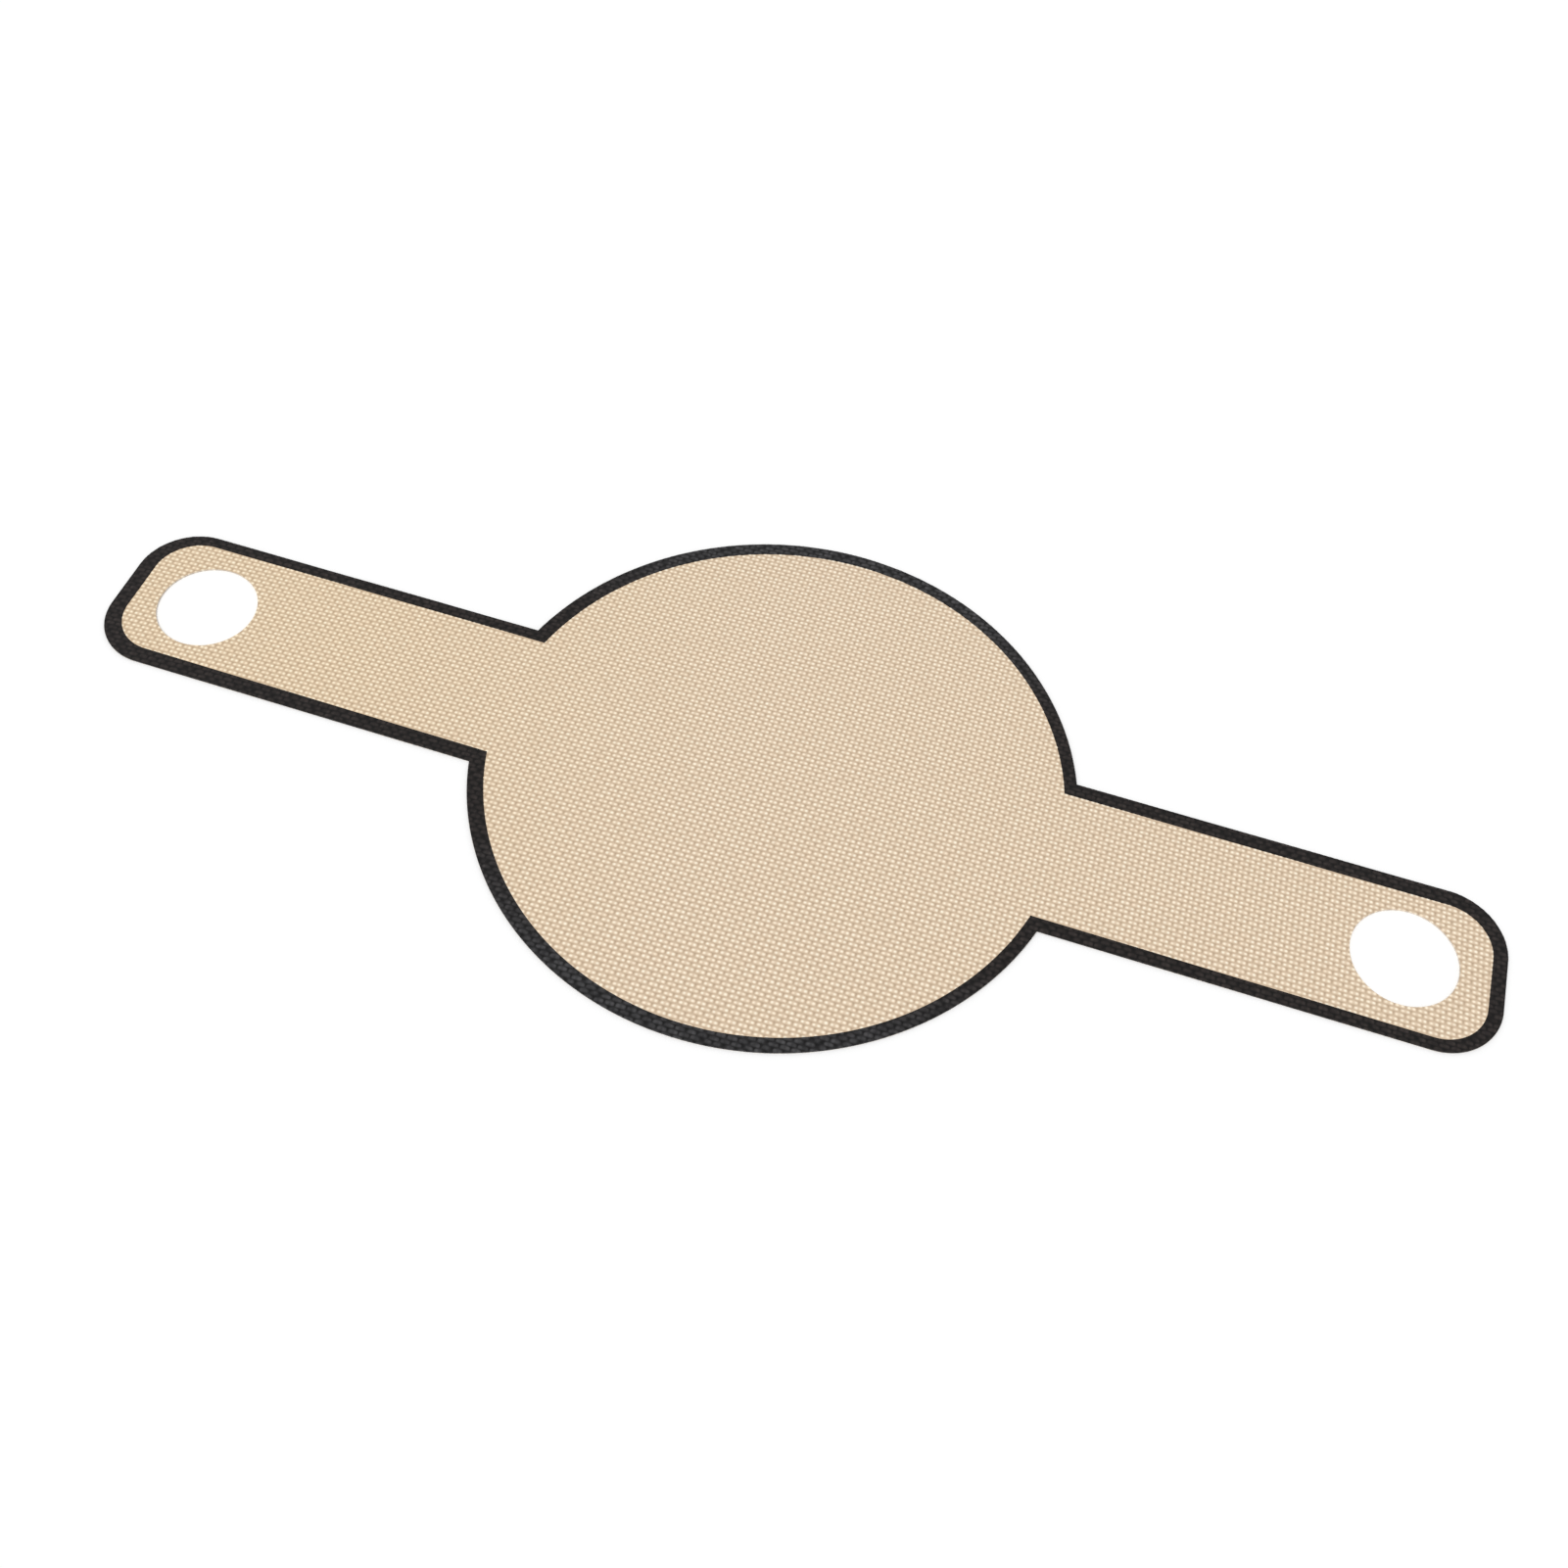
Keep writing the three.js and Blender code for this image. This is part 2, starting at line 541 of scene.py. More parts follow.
def solid_mesh(
    name: str,
    upper: Patch,
    upper_z: Array,
    lower: Patch,
    lower_z: Array,
    weave: Weave,
) -> bpy.types.Object:
    """A closed solid between two surfaces that share their edge loops.

    The upper and lower surfaces are joined round each loop by a wall of two triangles to an edge. Each
    point keeps its yarn counts as its place in the UV map named yarns.

    Args:
        name: the piece's name.
        upper: the upper surface's plan.
        upper_z: its heights.
        lower: the lower surface's plan.
        lower_z: its heights.
        weave: the weave that counts the yarns.

    Returns:
        The new object.
    """
    first_lower = len(upper.points)
    plan = np.concatenate((upper.points, lower.points))
    height = np.concatenate((upper_z, lower_z))
    faces = [upper.triangles, lower.triangles[:, ::-1] + first_lower]
    for loop in upper.loops:
        following = np.roll(loop, -1)
        faces.append(np.column_stack((loop + first_lower, following + first_lower, following)))
        faces.append(np.column_stack((loop + first_lower, following, loop)))
    corners = np.concatenate(faces).astype(np.int32)
    mesh = bpy.data.meshes.new(name)
    mesh.vertices.add(len(plan))
    mesh.vertices.foreach_set("co", (np.column_stack((plan, height)) * MM).astype(np.float32).ravel())
    mesh.loops.add(corners.size)
    mesh.loops.foreach_set("vertex_index", corners.ravel())
    mesh.polygons.add(len(corners))
    mesh.polygons.foreach_set("loop_start", np.arange(0, corners.size, 3, dtype=np.int32))
    mesh.update(calc_edges=True)
    yarns = mesh.uv_layers.new(name=YARN_MAP)
    yarns.uv.foreach_set("vector", weave.count(plan)[corners.ravel()].astype(np.float32).ravel())
    mesh.shade_smooth()
    mesh.set_sharp_from_angle(angle=SHARP_ANGLE)
    mesh.validate()
    piece = bpy.data.objects.new(name, mesh)
    bpy.context.scene.collection.objects.link(piece)
    return piece


@dataclass(frozen=True)
class Grain:
    """A cloudy noise: its cells to a yarn, how many finer octaves it has and how strong those are."""

    cells: float
    octaves: float
    strength: float = 0.5


@dataclass
class Nodes:
    """Shorthand for wiring one material's nodes."""

    tree: bpy.types.NodeTree

    def add(self, kind: str, **settings: object) -> bpy.types.Node:
        """A new node.

        Args:
            kind: the name of its type.
            settings: its properties, by name.

        Returns:
            The node.
        """
        node = self.tree.nodes.new(kind)
        for key, value in settings.items():
            setattr(node, key, value)
        return node

    def plug(self, socket: Socket, value: Value | tuple[float, ...]) -> None:
        """Links a socket to another, or sets its constant.

        Args:
            socket: the input.
            value: the output that feeds it, or the constant.
        """
        if isinstance(value, bpy.types.NodeSocket):
            self.tree.links.new(value, socket)
        else:
            socket.default_value = value

    def math(self, operation: str, first: Value, second: Value = 0.0, third: Value = 0.0) -> Socket:
        """One sum.

        Args:
            operation: the Math node's operation.
            first: its first number.
            second: its second number, if it takes one.
            third: its third number, if it takes one.

        Returns:
            The result's socket.
        """
        node = self.add("ShaderNodeMath", operation=operation)
        for socket, value in zip(node.inputs, (first, second, third)):
            self.plug(socket, value)
        return node.outputs[0]

    def noise(self, yarns: Socket, grain: Grain) -> Socket:
        """Cloudy noise from about 0 to 1.

        Args:
            yarns: the yarn counts.
            grain: how fine the noise is.

        Returns:
            The noise's socket.
        """
        node = self.add("ShaderNodeTexNoise")
        self.plug(node.inputs["Vector"], yarns)
        self.plug(node.inputs["Scale"], grain.cells)
        self.plug(node.inputs["Detail"], grain.octaves)
        self.plug(node.inputs["Roughness"], grain.strength)
        return node.outputs["Fac"]

    def span(self, value: Socket, source: Span, target: Span = (0.0, 1.0)) -> Socket:
        """A number carried from one range to another, and held inside it.

        Args:
            value: the number.
            source: the range that it comes from.
            target: the range that it goes to.

        Returns:
            The new number's socket.
        """
        node = self.add("ShaderNodeMapRange")
        for socket, number in zip(node.inputs, (value, *source, *target)):
            self.plug(socket, number)
        return node.outputs[0]

    def ramp(self, share: Socket, stops: tuple[float, ...], colours: tuple[Colour, ...]) -> Socket:
        """A colour that runs through several stops.

        Args:
            share: the number that picks the colour.
            stops: each stop's number.
            colours: each stop's colour.

        Returns:
            The colour's socket.
        """
        node = self.add("ShaderNodeValToRGB")
        elements = node.color_ramp.elements
        while len(elements) < len(stops):
            elements.new(1.0)
        for element, stop, colour in zip(elements, stops, colours):
            element.position = stop
            element.color = (*colour, 1.0)
        self.plug(node.inputs[0], share)
        return node.outputs[0]

    def tint(self, colour: Socket, other: Colour, share: Socket) -> Socket:
        """A colour multiplied by another in a share.

        Args:
            colour: the colour.
            other: what it is multiplied by.
            share: how much, from 0 to 1.

        Returns:
            The new colour's socket.
        """
        node = self.add("ShaderNodeMix", data_type="RGBA", blend_type="MULTIPLY")
        self.plug(node.inputs["Factor"], share)
        for index, value in zip(MIX_COLOURS, (colour, (*other, 1.0))):
            self.plug(node.inputs[index], value)
        return node.outputs[MIX_RESULT]

    def bump(self, height: Socket, distance: float) -> Socket:
        """A normal that follows a height.

        Args:
            height: the height's socket.
            distance: how many metres a height of 1 is.

        Returns:
            The normal's socket.
        """
        node = self.add("ShaderNodeBump")
        self.plug(node.inputs["Distance"], distance)
        self.plug(node.inputs["Height"], height)
        return node.outputs[0]

    def yarns(self) -> Socket:
        """The piece's own yarn counts, which stay with the sheet as it bends."""
        return self.add("ShaderNodeUVMap", uv_map=YARN_MAP).outputs[0]

    def counts(self, yarns: Socket) -> tuple[Socket, Socket]:
        """The two yarn counts apart.

        Args:
            yarns: the yarn counts.

        Returns:
            The sockets of a and of b.
        """
        split = self.add("ShaderNodeSeparateXYZ")
        self.plug(split.inputs[0], yarns)
        return split.outputs[0], split.outputs[1]

    def crown(self, yarns: Socket) -> tuple[Socket, Socket]:
        """The weave's crown, by the same formula as Weave.crown.

        Args:
            yarns: the yarn counts.

        Returns:
            The sockets of the crown and of the dot in it.
        """
        a, b = (self.math("MULTIPLY", count, math.pi) for count in self.counts(yarns))
        cos_a = self.math("COSINE", a)
        cos_b = self.math("COSINE", b)
        ridge_a = self.math("MULTIPLY", cos_a, cos_a)
        ridge_b = self.math("MULTIPLY", cos_b, cos_b)
        dot = self.math("POWER", self.math("MULTIPLY", ridge_a, ridge_b), CROWN.falloff)
        leaning = self.math("COSINE", self.math("SUBTRACT", b, CROWN.lean * math.pi))
        tie = self.math("MULTIPLY", self.math("SINE", a), leaning)
        low = self.math("MULTIPLY_ADD", ridge_b, CROWN.ridge, CROWN.everywhere)
        raised = self.math("MULTIPLY_ADD", dot, CROWN.dot, low)
        return self.math("MULTIPLY_ADD", tie, CROWN.tie, raised), dot

    def each_crossing(self, yarns: Socket) -> tuple[Socket, Socket]:
        """Two random numbers from 0 to 1 for the crossing that a place is nearest to.

        Args:
            yarns: the yarn counts.

        Returns:
            The numbers' sockets.
        """
        half_a_yarn = (0.5, 0.5, 0.5)
        ahead = self.add("ShaderNodeVectorMath", operation="ADD")
        self.plug(ahead.inputs[0], yarns)
        self.plug(ahead.inputs[1], half_a_yarn)
        whole = self.add("ShaderNodeVectorMath", operation="FLOOR")
        self.plug(whole.inputs[0], ahead.outputs[0])
        random = self.add("ShaderNodeTexWhiteNoise", noise_dimensions="2D")
        self.plug(random.inputs["Vector"], whole.outputs[0])
        split = self.add("ShaderNodeSeparateColor")
        self.plug(split.inputs[0], random.outputs["Color"])
        return split.outputs[0], split.outputs[1]


def new_material(name: str) -> tuple[bpy.types.Material, Nodes, bpy.types.Node]:
    """A fresh node material.

    Args:
        name: the finish's name.

    Returns:
        The material, its nodes and its surface shader.
    """
    material = bpy.data.materials.new(name)
    material.use_nodes = True
    nodes = Nodes(material.node_tree)
    return material, nodes, material.node_tree.nodes["Principled BSDF"]


@dataclass(frozen=True)
class TanSilicone:
    """Satin tan silicone over the weave: cream on the crossings, partly a painted highlight, brown-tan in
    the gaps, mottled by yarn.

    A reach is where a change begins and is complete: in noise for the cloud and the skin, and in yarns
    along a for the warm end.
    """

    joint: Colour = (0.45, 0.33, 0.219)
    gap: Colour = (0.58, 0.445, 0.311)
    tie: Colour = (0.775, 0.625, 0.46)
    # Partly the pale yarn under thin silicone, partly a painted highlight on the crowns.
    crossing: Colour = (1.0, 0.922, 0.752)
    stops: tuple[float, ...] = (0.08, 0.2, 0.5, 0.95)
    uneven: Span = (-0.15, 0.09)
    warm: Colour = (1.0, 0.94, 0.90)
    dull: Colour = (0.88, 0.87, 0.86)
    cloud: Grain = Grain(0.7, 2.0)
    cloud_reach: Span = (0.45, 0.75)
    cloud_share: Span = (0.0, 0.35)
    warm_end: Colour = (1.0, 0.985, 0.93)
    warm_end_reach: Span = (-10.0, -90.0)
    skin: Grain = Grain(5.5, 3.0)
    skin_reach: Span = (0.3, 0.7)
    skin_height: float = 0.00002
    roughness: Span = (0.37, 0.5)
    gloss: float = 0.35

    def material(self) -> bpy.types.Material:
        """A ramp over the crown, uneven by crossing, with a fine skin.

        Returns:
            The finish as a material.
        """
        material, nodes, shader = new_material("tan silicone")
        yarns = nodes.yarns()
        crown, dot = nodes.crown(yarns)
        first, second = nodes.each_crossing(yarns)
        change = nodes.span(first, (0.0, 1.0), self.uneven)
        colours = (self.joint, self.gap, self.tie, self.crossing)
        colour = nodes.ramp(nodes.math("MULTIPLY_ADD", dot, change, crown), self.stops, colours)
        colour = nodes.tint(colour, self.warm, nodes.math("MULTIPLY", dot, second))
        cloud = nodes.span(nodes.noise(yarns, self.cloud), self.cloud_reach, self.cloud_share)
        colour = nodes.tint(colour, self.dull, cloud)
        leftward = nodes.span(nodes.counts(yarns)[0], self.warm_end_reach)
        nodes.plug(shader.inputs["Base Color"], nodes.tint(colour, self.warm_end, leftward))
        skin = nodes.noise(yarns, self.skin)
        nodes.plug(shader.inputs["Roughness"], nodes.span(skin, self.skin_reach, self.roughness))
        nodes.plug(shader.inputs["Specular IOR Level"], self.gloss)
        nodes.plug(shader.inputs["Normal"], nodes.bump(skin, self.skin_height))
        return material


@dataclass(frozen=True)
class BlackSilicone:
    """Matt black silicone print, greyer on the crossings under it as a painted glint, and blacker along the
    straps as painted shade.

    Its reaches are in noise, and in yarns from the sheet's middle line for the painted shade along the
    straps.
    """

    low: Colour = (0.005, 0.0047, 0.005)
    middle: Colour = (0.043, 0.042, 0.044)
    # Painted glint: the crossings are drawn greyer where their crowns would catch the light.
    high: Colour = (0.07, 0.0685, 0.0715)
    stops: tuple[float, ...] = (0.12, 0.36, 0.95)
    uneven: Span = (-0.85, 0.35)
    blotch: Colour = (0.42, 0.42, 0.43)
    cloud: Grain = Grain(0.55, 3.0, 0.6)
    cloud_reach: Span = (0.4, 0.65)
    # Painted shade: the band is drawn darker and warmer along the straps, where it catches less sheen than
    # at the front and back of the disc.
    strap: Colour = (0.52, 0.42, 0.37)
    strap_shade_reach: Span = (30.0, 52.0)
    skin: Grain = Grain(6.0, 3.0)
    skin_height: float = 0.00003
    rough_reach: Span = (0.3, 0.7)
    roughness: Span = (0.32, 0.48)
    gloss: float = 0.15

    def material(self) -> bpy.types.Material:
        """A dark ramp over the crown, blotched by noise, with painted shade along the straps and a fine
        skin.

        Returns:
            The finish as a material.
        """
        material, nodes, shader = new_material("black silicone")
        yarns = nodes.yarns()
        crown, dot = nodes.crown(yarns)
        change = nodes.span(nodes.each_crossing(yarns)[0], (0.0, 1.0), self.uneven)
        colours = (self.low, self.middle, self.high)
        colour = nodes.ramp(nodes.math("MULTIPLY_ADD", dot, change, crown), self.stops, colours)
        cloud = nodes.noise(yarns, self.cloud)
        colour = nodes.tint(colour, self.blotch, nodes.span(cloud, self.cloud_reach))
        # Painted shade along the straps, fading out towards the front and back of the disc.
        from_middle = nodes.math("ABSOLUTE", nodes.counts(yarns)[1])
        strap_shade = nodes.span(from_middle, self.strap_shade_reach, (1.0, 0.0))
        nodes.plug(shader.inputs["Base Color"], nodes.tint(colour, self.strap, strap_shade))
        nodes.plug(shader.inputs["Roughness"], nodes.span(cloud, self.rough_reach, self.roughness))
        nodes.plug(shader.inputs["Specular IOR Level"], self.gloss)
        skin = nodes.noise(yarns, self.skin)
        nodes.plug(shader.inputs["Normal"], nodes.bump(skin, self.skin_height))
        return material


@dataclass(frozen=True)
class GlassCloth:
    """Bare glass cloth, which shows only at the cut edge as pale yarn ends in silicone."""

    between: Colour = (0.66, 0.55, 0.43)
    yarn: Colour = (0.84, 0.77, 0.68)
    stops: tuple[float, ...] = (0.3, 0.8)
    fray: Grain = Grain(4.0, 3.0)
    fray_share: float = 0.8
    crown_share: float = 0.5
    fray_height: float = 0.00004
    roughness: float = 0.75

    def material(self) -> bpy.types.Material:
        """Pale yarn ends by the crown, broken up by noise.

        Returns:
            The finish as a material.
        """
        material, nodes, shader = new_material("glass cloth")
        yarns = nodes.yarns()
        fray = nodes.noise(yarns, self.fray)
        crown = nodes.math("MULTIPLY", nodes.crown(yarns)[0], self.crown_share)
        ends = nodes.math("MULTIPLY_ADD", fray, self.fray_share, crown)
        nodes.plug(shader.inputs["Base Color"], nodes.ramp(ends, self.stops, (self.between, self.yarn)))
        nodes.plug(shader.inputs["Roughness"], self.roughness)
        nodes.plug(shader.inputs["Normal"], nodes.bump(fray, self.fray_height))
        return material


@dataclass
class Sheet:
    """What all the stretches share: the cut, the print on it, the weave, the layers and the finishes.

    Points on an edge are an edge step apart at most, and points inside keep a margin from it. Fine and
    medium are lattice points to a yarn. A triangle is kept if its middle lies inside by more than a sliver.
    Each bend takes up a length of sheet, half of it on either side of the fold line.
    """

    cut: Outline
    lip: Outline
    rim: Outline
    weave: Weave
    layers: Layers
    finishes: dict[Slot, bpy.types.Material]
    edge_step: float = 0.6
    margin: float = 0.26
    fine: float = 3.0
    medium: float = 2.0
    sliver: float = 1e-6
    same_point: float = 1e-6
    bend: float = 8.0


@dataclass
class Stretch:
    """One stretch of the sheet between seams, with its layers as separate pieces."""

    name: str
    sheet: Sheet
    low: float
    high: float
    pieces: list[bpy.types.Object] = field(default_factory=list)

    def seam(self, x: float) -> Array:
        """A line straight across the sheet.

        Args:
            x: its place along X.

        Returns:
            Points from front to back, with the print's two inner edges among them.
        """
        half, step = self.sheet.cut.half_width, self.sheet.edge_step
        front, back = (self.sheet.rim.edge_y(edge, x) for edge in Edge)
        return np.concatenate((
            straight((x, -half), (x, front), step)[:-1],
            straight((x, front), (x, back), step)[:-1],
            straight((x, back), (x, half), step),
        ))

    def cut_loops(self) -> list[Array]:
        """The edge loops of the stretch's coats and cloth.

        Returns:
            One loop: two long edges joined along two seams.
        """
        cut, step = self.sheet.cut, self.sheet.edge_step
        return [ring(
            cut.long_edge(Edge.FRONT, self.low, self.high, step),
            self.seam(self.high),
            cut.long_edge(Edge.BACK, self.high, self.low, step),
            self.seam(self.low)[::-1],
        )]

    def print_bits(self) -> list[PrintBit]:
        """The stretch's bits of printed band.

        Returns:
            One bit along each long edge.
        """
        sheet, step = self.sheet, self.sheet.edge_step
        return [
            PrintBit(
                f"{edge.name.lower()}_",
                sheet.lip.long_edge(edge, self.low, self.high, step),
                sheet.cut.long_edge(edge, self.low, self.high, step),
                sheet.rim.long_edge(edge, self.high, self.low, step),
                edge,
            )
            for edge in Edge
        ]

    def depth(self, plan: Array) -> Array:
        """How far points lie outside the cut, holes included, negative on the sheet."""
        return self.sheet.cut.distance(plan)

    def between_seams(self, plan: Array, margin: float) -> Array:
        """True for points at least a margin from the stretch's two ends."""
        return (plan[:, 0] > self.low + margin) & (plan[:, 0] < self.high - margin)

    def inside(self, plan: Array, margin: float) -> Array:
        """True for points on the stretch and at least a margin from its edges."""
        return (self.depth(plan) < -margin) & self.between_seams(plan, margin)

    def lattice(self, samples: float, region: Region) -> Array:
        """Points in step with the yarns that lie well inside a region of the stretch.

        Args:
            samples: points to a yarn, or 0 for none.
            region: tells which points lie inside by at least a margin.

        Returns:
            Plan points.
        """
        if samples <= 0.0:
            return np.empty((0, 2))
        breadth = self.sheet.cut.radius
        points = self.sheet.weave.lattice((self.low, -breadth), (self.high, breadth), samples)
        return points[region(points, self.sheet.margin)]

    def patch(self, loops: list[Array], inner: Array, region: Region) -> Patch:
        """A region cut into triangles by a constrained Delaunay triangulation.

        Args:
            loops: the region's edge loops.
            inner: the points inside it.
            region: tells which points lie inside by at least a margin.

        Returns:
            The region's points and triangles.
        """
        points = np.concatenate((*loops, inner))
        starts = np.cumsum([0] + [len(loop) for loop in loops])
        indices = [np.arange(a, b) for a, b in zip(starts[:-1], starts[1:])]
        edges = np.concatenate([np.column_stack((i, np.roll(i, -1))) for i in indices])
        same_point = self.sheet.same_point
        found = delaunay_2d_cdt(points.tolist(), edges.tolist(), [], CDT_TRIANGLES, same_point)
        if len(found[0]) != len(points):
            raise ValueError(f"{self.name}: two points of a region fall together")
        triangles = np.array(found[2])
        middles = points[triangles].mean(axis=1)
        return Patch(points, triangles[region(middles, self.sheet.sliver)], indices)

    def crown(self, patch: Patch) -> Array:
        """The weave's crown at a region's points."""
        return self.sheet.weave.crown(self.sheet.weave.count(patch.points))

    def face_points(self) -> Array:
        """Points inside the tan face.

        Returns:
            A fine lattice, kept clear of the print's inner edge; a lattice like that of the hidden faces,
            well under the print; and the print's inner edge itself.
        """
        sheet, tuck = self.sheet, self.sheet.layers.tuck
        shown = self.lattice(sheet.fine, self.inside)
        under_print = sheet.rim.distance(shown)
        shown = shown[(np.abs(under_print) > sheet.margin) & (under_print < tuck)]
        covered = self.lattice(self.inner_samples(), self.inside)
        covered = covered[sheet.rim.distance(covered) > tuck + sheet.margin]
        return np.concatenate((shown, covered, *[bit.inner[1:-1] for bit in self.print_bits()]))

    def inner_samples(self) -> float:
        """Lattice points to a yarn on the faces hidden between the layers, enough for them to bend."""
        return self.sheet.medium

    def carry(self, piece: bpy.types.Object) -> None:
        """Makes a piece move with the frame."""
        raise NotImplementedError

    def dress(self, piece: bpy.types.Object, node: str, slot: Slot) -> None:
        """Gives a piece its finish and its place in the frame.

        Args:
            piece: the piece.
            node: the CAD node that it stands for, without the stretch's name.
            slot: its material slot.
        """
        piece.data.materials.append(self.sheet.finishes[slot])
        self.carry(piece)
        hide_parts(f"{self.name}_{node}")
        self.pieces.append(piece)
        log.info("%s: %d triangles", piece.name, len(piece.data.polygons))

    def build_coats(self) -> None:
        sheet, layers = self.sheet, self.sheet.layers
        loops = self.cut_loops()
        hidden = self.patch(loops, self.lattice(self.inner_samples(), self.inside), self.inside)
        cloth_top = np.full(len(hidden.points), layers.cloth_top)
        cloth_bottom = np.full(len(hidden.points), layers.cloth_bottom)
        face = self.patch(loops, self.face_points(), self.inside)
        face_z = layers.top(self.crown(face), sheet.rim.distance(face.points))
        under = self.patch(loops, self.lattice(sheet.medium, self.inside), self.inside)
        under_z = layers.under(self.crown(under))
        top = solid_mesh(f"{self.name}_top_skin", face, face_z, hidden, cloth_top, sheet.weave)
        cloth = solid_mesh(f"{self.name}_weave", hidden, cloth_top, hidden, cloth_bottom, sheet.weave)
        base = solid_mesh(f"{self.name}_under_skin", hidden, cloth_bottom, under, under_z, sheet.weave)
        self.dress(top, "top_coat", Slot.TAN)
        self.dress(base, "bottom_coat", Slot.TAN)
        self.build_prints()
        self.dress(cloth, "cloth", Slot.CLOTH)
        area = hidden.area() * MM**2

    def build_prints(self) -> None:
        """Builds the stretch's bits of printed band: a thin film that follows the relief."""
        sheet, layers = self.sheet, self.sheet.layers
        for bit in self.print_bits():

            def printed(plan: Array, margin: float, bit: PrintBit = bit) -> Array:
                """True for points in this bit of print and at least a margin from its edges."""
                across = (sheet.lip.distance(plan) < -margin) & (sheet.rim.distance(plan) > margin)
                return across & self.between_seams(plan, margin) & bit.beside(plan)

            loops = [bit.loop(sheet.edge_step)]
            film = self.patch(loops, self.lattice(sheet.fine, printed), printed)
            film_z = layers.print_top(self.crown(film), sheet.rim.distance(film.points))
            below = np.concatenate((self.lattice(self.inner_samples(), printed), bit.cut[1:-1]))
            seat = self.patch(loops, below, printed)
            seat_z = layers.print_seat(sheet.cut.distance(seat.points))
            piece = solid_mesh(f"{self.name}_{bit.label}print", film, film_z, seat, seat_z, sheet.weave)
            self.dress(piece, f"{bit.label}band", Slot.BLACK)


@dataclass
class RoundMat(Stretch):
    """The round part that the loaf sits on. It doesn't bend."""

    def inner_samples(self) -> float:
        """None: the hidden faces stay flat."""
        return 0.0

    def carry(self, piece: bpy.types.Object) -> None:
        """Rides on the disc."""
        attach(piece, "disc")


@dataclass
class StrapLength(Stretch):
    """A length of strap beyond the stretch before it, which begins half a bend inside its joint's fold
    line.
    """

    side: Side = Side.LEFT
    inner_body: str = ""

    @property
    def near(self) -> float:
        """How far the inner end is from the middle along X."""
        return min(abs(self.low), abs(self.high))

    def carry(self, piece: bpy.types.Object) -> None:
        """Bakes the piece's place into its mesh; the piece stays where it was built.

        Args:
            piece: the piece.
        """
        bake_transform(piece)


@dataclass
class Grip(StrapLength):
    """The rounded end of a strap, with its finger hole."""

    hole_diameter: float = 36.0
    hole_to_end: float = 32.75

    @property
    def hole_centre(self) -> Point:
        """The middle of the finger hole."""
        return (self.side.value * (self.sheet.cut.half_length - self.hole_to_end), 0.0)

    def depth(self, plan: Array) -> Array:
        """How far points lie outside the cut or inside the finger hole, negative on the sheet."""
        from_hole = np.hypot(*(plan - self.hole_centre).T)
        return np.maximum(self.sheet.cut.distance(plan), self.hole_diameter / 2.0 - from_hole)

    def between_seams(self, plan: Array, margin: float) -> Array:
        """True for points at least a margin from the grip's one seam."""
        return plan[:, 0] * self.side.value > self.near + margin

    def cut_loops(self) -> list[Array]:
        """The edge loops of the grip's coats and cloth.

        Returns:
            The rounded edge closed along the seam, and the finger hole.
        """
        cut, step = self.sheet.cut, self.sheet.edge_step
        edge = cut.strap_end(self.side, self.near, step)
        closing = self.seam(self.side.value * self.near)[::-1]
        hole = arc(self.hole_centre, self.hole_diameter / 2.0, 0.0, 2.0 * math.pi, step)
        return [ring(edge, closing), ring(hole, solid=False)]

    def print_bits(self) -> list[PrintBit]:
        """The grip's printed band.

        Returns:
            One bit, in a U round the end.
        """
        outlines = (self.sheet.lip, self.sheet.cut, self.sheet.rim)
        lip, cut, rim = (line.strap_end(self.side, self.near, self.sheet.edge_step) for line in outlines)
        return [PrintBit("", lip, cut, rim[::-1])]


@dataclass
class Sling:
    """The whole sling, with its sizes taken from the frame where the frame gives them."""

    corner: float = 21.0
    print_shift: Point = (0.5, 0.18)
    print_short: float = 0.3
    print_turn: float = math.radians(-0.18)

    def sheet(self) -> Sheet:
        """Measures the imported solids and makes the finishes.

        Returns:
            The cut, the print on it, the weave, the layers and the finishes.
        """
        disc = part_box("disc_top_coat")[1] / MM
        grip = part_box("right_grip_top_coat")[1] / MM
        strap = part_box("right_strap_top_coat")[1] / MM
        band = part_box("right_strap_back_band")
        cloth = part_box("disc_cloth")
        cut = Outline(disc.y, grip.x, strap.y, self.corner)
        rim = cut.drawn_in((band[1].y - band[0].y) / MM, self.print_shift, self.print_turn)
        rim = replace(rim, half_length=rim.half_length - self.print_short)
        finishes = {
            Slot.TAN: TanSilicone().material(),
            Slot.CLOTH: GlassCloth().material(),
            Slot.BLACK: BlackSilicone().material(),
        }
        layers = Layers(cloth[0].z / MM, cloth[1].z / MM, disc.z)
        lip = cut.drawn_in(-layers.lip)
        return Sheet(cut, lip, rim, Weave(), layers, finishes)

    def strap(self, side: Side, sheet: Sheet) -> list[Stretch]:
        """One strap's stretches outwards, each beginning half a bend inside the fold line of its joint.

        Args:
            side: the left or the right strap.
            sheet: what the stretches share.

        Returns:
            The stretches, with the grip last.
        """
        joints = [joint for joint in frame["joints"] if joint["pos_m"][0] * side.value > 0.0]
        joints.sort(key=lambda joint: abs(joint["pos_m"][0]))
        near = [abs(joint["pos_m"][0]) / MM - sheet.bend / 2.0 for joint in joints]
        made: list[Stretch] = []
        for joint, start, stop in zip(joints, near, (*near[1:], sheet.cut.half_length)):
            low, high = sorted((side.value * start, side.value * stop))
            kind = Grip if joint is joints[-1] else StrapLength
            made.append(kind(joint["child"], sheet, low, high, [], side, joint["parent"]))
        return made

    def build(self) -> None:
        """Builds the round mat, then each strap outwards."""
        sheet = self.sheet()
        left, right = (self.strap(side, sheet) for side in Side)
        mat = RoundMat("disc", sheet, left[0].high, right[0].low)
        for stretch in (mat, *left, *right):
            stretch.build_coats()
            log.info("%s is made of %d pieces", stretch.name, len(stretch.pieces))


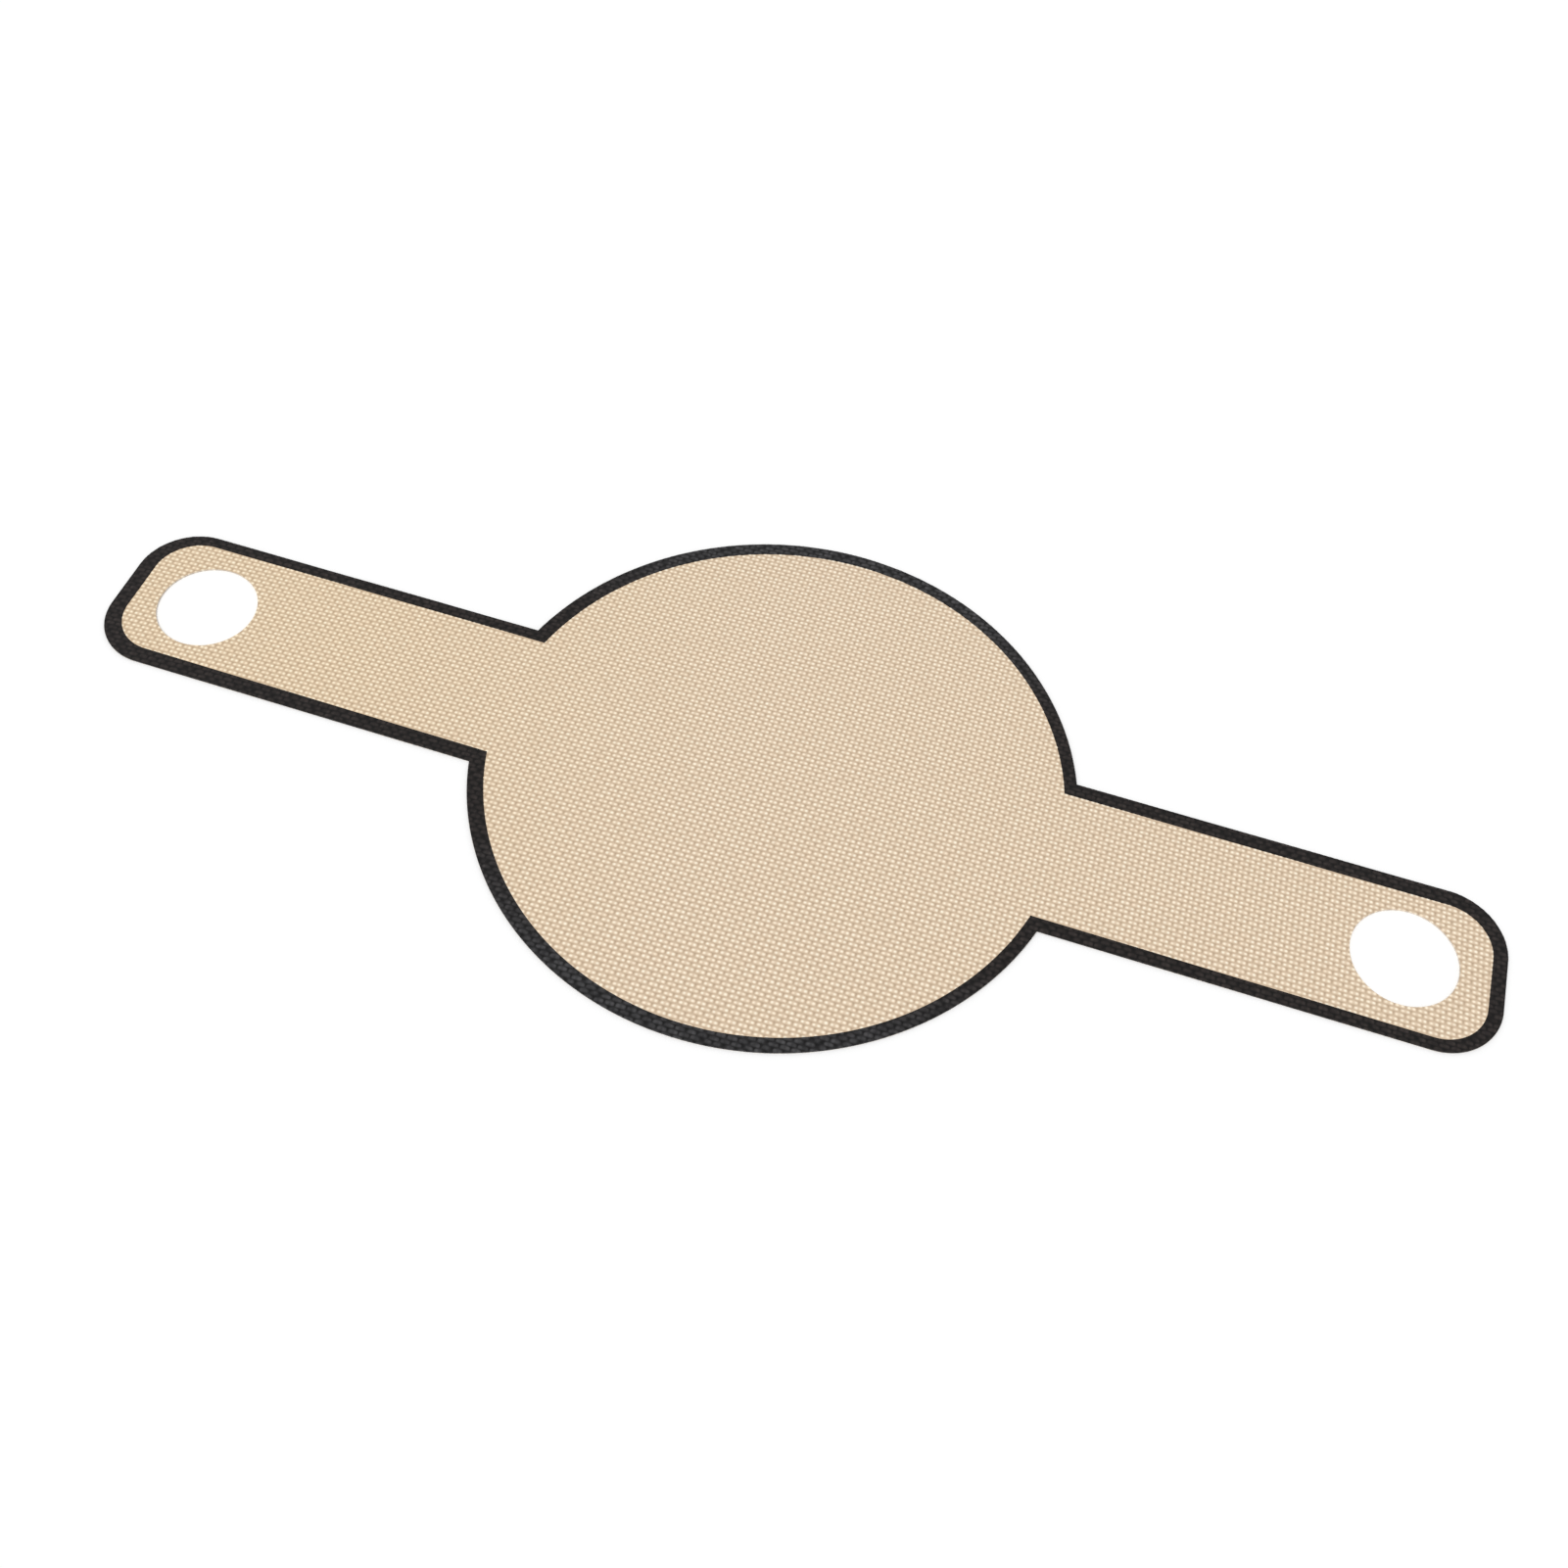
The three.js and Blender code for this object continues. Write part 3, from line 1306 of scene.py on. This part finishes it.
@dataclass
class Studio:
    """A white worktop under soft light, seen from the front and above."""

    eye: tuple[float, float, float] = (83.48, -311.01, 472.63)
    aim: tuple[float, float, float] = (4.625, -3.38, 0.7)
    roll: float = math.radians(4.355)
    lens: float = 37.98
    sensor: float = 36.0
    nearest: float = 10.0
    floor_half: float = 6000.0
    floor_drop: float = 0.05
    floor_colour: Colour = (0.98, 0.98, 0.98)
    floor_roughness: float = 0.9
    floor_gloss: float = 0.0
    room_colour: Colour = (1.0, 1.0, 1.0)
    fill: float = 0.62
    key: float = 1.46
    key_from: tuple[float, float, float] = (-0.2, -0.4, 0.9)
    key_angle: float = math.radians(40.0)

    def place_camera(self) -> None:
        """Puts the camera at the eye, aimed at the sheet and rolled a little."""
        data = bpy.data.cameras.new("camera")
        data.lens = self.lens
        data.sensor_width = self.sensor
        data.clip_start = self.nearest * MM
        camera = bpy.data.objects.new("camera", data)
        camera.location = Vector(self.eye) * MM
        look = Vector(self.aim) - Vector(self.eye)
        camera.rotation_mode = "QUATERNION"
        camera.rotation_quaternion = look.to_track_quat("-Z", "Y") @ Quaternion((0.0, 0.0, 1.0), self.roll)
        bpy.context.scene.collection.objects.link(camera)
        bpy.context.scene.camera = camera

    def lay_floor(self) -> None:
        """Lays the worktop just under the sheet."""
        half, low = self.floor_half * MM, -self.floor_drop * MM
        corners = [(-half, -half, low), (half, -half, low), (half, half, low), (-half, half, low)]
        mesh = bpy.data.meshes.new("worktop")
        mesh.from_pydata(corners, [], [(0, 1, 2, 3)])
        floor = bpy.data.objects.new("worktop", mesh)
        bpy.context.scene.collection.objects.link(floor)
        material, nodes, shader = new_material("white worktop")
        nodes.plug(shader.inputs["Base Color"], (*self.floor_colour, 1.0))
        nodes.plug(shader.inputs["Roughness"], self.floor_roughness)
        nodes.plug(shader.inputs["Specular IOR Level"], self.floor_gloss)
        mesh.materials.append(material)

    def light(self) -> None:
        """One broad soft light from above, and a white room that fills the shadows."""
        data = bpy.data.lights.new("broad light", "SUN")
        data.energy = self.key
        data.angle = self.key_angle
        lamp = bpy.data.objects.new("broad light", data)
        lamp.rotation_mode = "QUATERNION"
        lamp.rotation_quaternion = (-Vector(self.key_from)).to_track_quat("-Z", "Y")
        bpy.context.scene.collection.objects.link(lamp)
        world = bpy.data.worlds.new("white room")
        world.use_nodes = True
        bpy.context.scene.world = world
        nodes = Nodes(world.node_tree)
        path = nodes.add("ShaderNodeLightPath").outputs
        seen = nodes.math("MAXIMUM", path["Is Camera Ray"], path["Is Glossy Ray"])
        seen = nodes.math("MAXIMUM", seen, path["Is Transmission Ray"])
        strength = nodes.math("MULTIPLY_ADD", seen, 1.0 - self.fill, self.fill)
        background = world.node_tree.nodes["Background"]
        nodes.plug(background.inputs["Color"], (*self.room_colour, 1.0))
        nodes.plug(background.inputs["Strength"], strength)

    def build(self) -> None:
        """Sets up the camera, the worktop and the light."""
        self.place_camera()
        self.lay_floor()
        self.light()
        bpy.context.scene.view_settings.view_transform = "Standard"


def main() -> None:
    """Builds the studio and the sling."""
    logging.basicConfig(level=logging.INFO, format="%(message)s")
    Studio().build()
    Sling().build()


if __name__ == "__main__":
    main()
